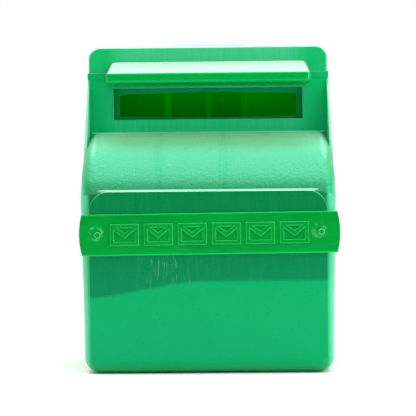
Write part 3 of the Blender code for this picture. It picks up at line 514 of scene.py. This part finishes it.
# ---------------------------------------------------------------------------------------------------------
# Screws, hinge pins and caps. Zinc plated steel: the screws cut their own thread in the plastic, and the
# hinge pins are held by push-on caps.
def zinc():
    """Zinc plate with a fine turned grain and dull spots."""
    made = Recipe("zinc_plate")
    grain = made.noise(900.0, (1, 4, 1), 3.0, 0.6)
    spots = made.noise(160.0)
    colour = made.mix(made.ramp(spots, 0.35, 0.7), (0.66, 0.67, 0.69), (0.48, 0.49, 0.50))
    roughness = made.ramp(grain, 0.2, 0.8, 0.25, 0.45)
    made.shader.inputs["Metallic"].default_value = 1.0
    return made.finish(colour, roughness, made.bump(grain, 0.15, 0.0001), 0.5, (1.0, 1.0, 1.0))


zinc_plate = zinc()
for name, node in nodes.items():
    if name.startswith(("plate_screw", "visor_screw", "hinge_pin", "pin_cap")):
        node.data.materials.clear()
        node.data.materials.append(zinc_plate)

# ---------------------------------------------------------------------------------------------------------
# Name band. A separate strip of glossier, yellower plastic across the front, with raised envelope signs and
# rounded edges. Two push pins of the same plastic hold it at its ends.
BAND_TILT = math.radians(0.45)
BAND_LINE = 0.0188
PIN_MARKS = (
    (-0.1115, -0.0345, 0.0048, 0.0085, 0.6),
    (0.110, -0.033, 0.0, 0.009, 0.25),
)
band_low, band_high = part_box("name_band")
band_middle = (band_low.z + band_high.z) / 2


def band_plastic():
    """Glossy yellow green, with handling marks near the pins and painted highlights on its edges and
    chamfers.
    """
    made = Recipe("band_gloss")
    x, _, z = made.axes.outputs
    patches = made.noise(14.0, (1, 1, 2), 4.0)
    streaks = made.noise(40.0, (0.5, 4, 9), 5.0, 0.7)
    colour = made.mix(made.ramp(patches, 0.3, 0.7), (0.0, 0.245, 0.018), (0.0, 0.205, 0.016))
    colour = made.mix(made.times(made.ramp(streaks, 0.55, 0.85), 0.3), colour, (0.02, 0.40, 0.10))
    axis = made.maths("MULTIPLY_ADD", x, -math.tan(BAND_TILT), -band_middle)
    # Painted highlight: pale lines along the top and bottom edges of the band.
    edge = made.ramp(made.maths("ABSOLUTE", made.maths("ADD", z, axis)), BAND_LINE, BAND_LINE + 0.0010)
    colour = made.mix(made.times(edge, 0.8), colour, (0.0, 0.50, 0.05))
    # Painted highlight: the chamfers of the signs and edges are painted paler.
    chamfer_highlight = made.ramp(made.normal.outputs[1], -0.96, -0.80)
    colour = made.mix(made.times(chamfer_highlight, 0.9), colour, (0.07, 0.62, 0.20))
    rub = made.noise(140.0, (1, 1, 1), 4.0, 0.6)
    for across, height, inner, outer, depth in PIN_MARKS:
        across_squared = made.maths("POWER", made.maths("ADD", x, -across), 2.0)
        height_squared = made.maths("POWER", made.maths("ADD", z, -height), 2.0)
        far = made.maths("SQRT", made.maths("ADD", across_squared, height_squared))
        mark = made.times(made.ramp(far, outer, outer * 0.7), made.ramp(rub, 0.40, 0.62), depth)
        if inner:
            mark = made.times(mark, made.ramp(far, inner, inner * 1.15))
        colour = made.mix(mark, colour, (0.16, 0.52, 0.28))
    roughness = made.ramp(streaks, 0.2, 0.8, 0.16, 0.28)
    normal = made.bump(made.noise(PEEL_SCALE), 0.10, 0.0004)
    normal = made.bump(patches, 0.25, 0.002, normal)
    return made.finish(colour, roughness, normal, 1.0, (0.03, 1.0, 0.35))


band_green = band_plastic()
band = moulded_copy("name_band", "name_band_strip", 0.0)
band.data.materials.append(band_green)
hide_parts("name_band")
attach(band, "box")

SIGNS = 6
SIGN_FIELD = 0.2020
SIGN_WIDTH = 0.0286
SIGN_HEIGHT = 0.0216
SIGN_STROKE = 0.0040
SIGN_CHAMFER = 0.0009
SIGN_PROUD = 0.0018
BAND_SHIFT = 0.0012
PAD_LEAN = math.radians(0.78)
BAND_FACE = band_low.y + 0.0011


def outline_spline(curve, points):
    """A closed straight-sided outline in a flat curve."""
    spline = curve.splines.new("POLY")
    spline.points.add(len(points) - 1)
    for point, (across, up) in zip(spline.points, points):
        point.co = (across, up, 0, 1)
    spline.use_cyclic_u = True


def envelope_sign(number):
    """One raised envelope with chamfered strokes, lying on the band."""
    bpy.ops.object.select_all(action="DESELECT")
    curve = bpy.data.curves.new(f"envelope_sign_{number}", "CURVE")
    curve.dimensions = "2D"
    curve.fill_mode = "BOTH"
    curve.extrude = SIGN_PROUD / 2
    curve.bevel_depth = SIGN_CHAMFER
    curve.bevel_resolution = 1
    curve.offset = -SIGN_CHAMFER
    x, y, stroke = SIGN_WIDTH / 2, SIGN_HEIGHT / 2, SIGN_STROKE
    fold = stroke * 0.55
    outline_spline(curve, [(-x, -y), (x, -y), (x, y), (-x, y)])
    top = y - stroke
    outline_spline(curve, [(-x + 1.9 * stroke, top), (0, fold), (x - 1.9 * stroke, top)])
    corner = x - stroke
    outline_spline(
        curve,
        [
            (-corner, -y + stroke),
            (-corner, top - fold),
            (0, -stroke * 0.9),
            (corner, top - fold),
            (corner, -y + stroke),
        ],
    )
    sign = bpy.data.objects.new(curve.name, curve)
    scene.collection.objects.link(sign)
    sign.select_set(True)
    bpy.context.view_layer.objects.active = sign
    bpy.ops.object.convert(target="MESH")
    sign = bpy.context.object
    pitch = SIGN_FIELD / SIGNS
    lean = Matrix.Rotation(math.radians(90) + PAD_LEAN, 4, "X")
    middle = Matrix.Translation((BAND_SHIFT, BAND_FACE, band_middle))
    place = middle @ lean @ Matrix.Rotation(BAND_TILT, 4, "Z")
    sign.matrix_world = place @ Matrix.Translation((pitch * (number - (SIGNS + 1) / 2), 0, 0))
    bpy.ops.object.transform_apply(location=True, rotation=True, scale=True)
    bpy.ops.object.shade_smooth_by_angle(angle=math.radians(25))
    sign.data.materials.clear()
    sign.data.materials.append(band_green)
    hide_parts("name_band")
    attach(sign, "box")


for number in range(1, SIGNS + 1):
    envelope_sign(number)
for side in ("left", "right"):
    pin = moulded_copy(f"band_pin_{side}", f"band_pin_{side}_button", 0.0002)
    pin.data.materials.append(band_green)
    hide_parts(f"band_pin_{side}")
    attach(pin, "box")


# ---------------------------------------------------------------------------------------------------------
# Lid. A cap moulded in a matt green with a fine spark-eroded texture, hinged along its rear edge on two
# steel pins. The middle of its front is paler, and its upward faces carry a painted highlight.
def lid_matt():
    """Matt green with a speckle, paler in the middle of the front, with a painted highlight on upward faces.
    """
    made = Recipe("lid_matt")
    x, _, z = made.axes.outputs
    up = made.normal.outputs[2]
    streaks = made.noise(70.0, (10, 10, 0.5), 5.0, 0.7)
    speckle = made.noise(1100.0, (1, 1, 1), 2.0, 0.7)
    side = made.maths("ABSOLUTE", x)
    colour = made.mix(made.ramp(made.noise(20.0), 0.3, 0.7), (0.0, 0.36, 0.075), (0.0, 0.325, 0.075))
    haze = made.times(made.ramp(side, 0.112, 0.080), made.ramp(streaks, 0.2, 0.75, 0.45, 1.0))
    colour = made.mix(haze, colour, (0.05, 0.42, 0.18))
    colour = made.mix(made.times(made.ramp(speckle, 0.5, 0.7), 0.4), colour, (0.08, 0.48, 0.25))
    # Painted highlight: upward faces are painted pale.
    colour = made.mix(made.ramp(up, 0.15, 0.6), colour, (0.46, 0.82, 0.64))
    roughness = made.ramp(speckle, 0.2, 0.8, 0.38, 0.55)
    normal = made.bump(speckle, 0.20, 0.0003)
    normal = made.bump(streaks, 0.10, 0.0005, normal)
    return made.finish(colour, roughness, normal)


lid = moulded_copy("lid", "lid_cap", 0.0)
lid.data.materials.append(lid_matt())
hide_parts("lid")
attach(lid, "lid")


# ---------------------------------------------------------------------------------------------------------
# Rain visor. A hollow hood of smooth glossy plastic over the slot, screwed to the lid from inside. Its top
# carries a painted highlight.
def visor_gloss():
    """Smooth green with a painted highlight on its top."""
    made = Recipe("visor_gloss")
    up = made.normal.outputs[2]
    streaks = made.noise(60.0, (1, 8, 8), 4.0, 0.7)
    colour = made.mix(made.ramp(streaks, 0.3, 0.75), (0.0, 0.30, 0.028), (0.0, 0.27, 0.025))
    # Painted highlight: upward faces of the visor are painted pale.
    colour = made.mix(made.ramp(up, 0.45, 0.8), colour, (0.40, 0.56, 0.46))
    roughness = made.ramp(streaks, 0.2, 0.8, 0.22, 0.34)
    return made.finish(colour, roughness, made.bump(made.noise(PEEL_SCALE), 0.03, 0.0003))


visor = moulded_copy("visor", "rain_visor", 0.0)
visor.data.materials.append(visor_gloss())
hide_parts("visor")
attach(visor, "lid")
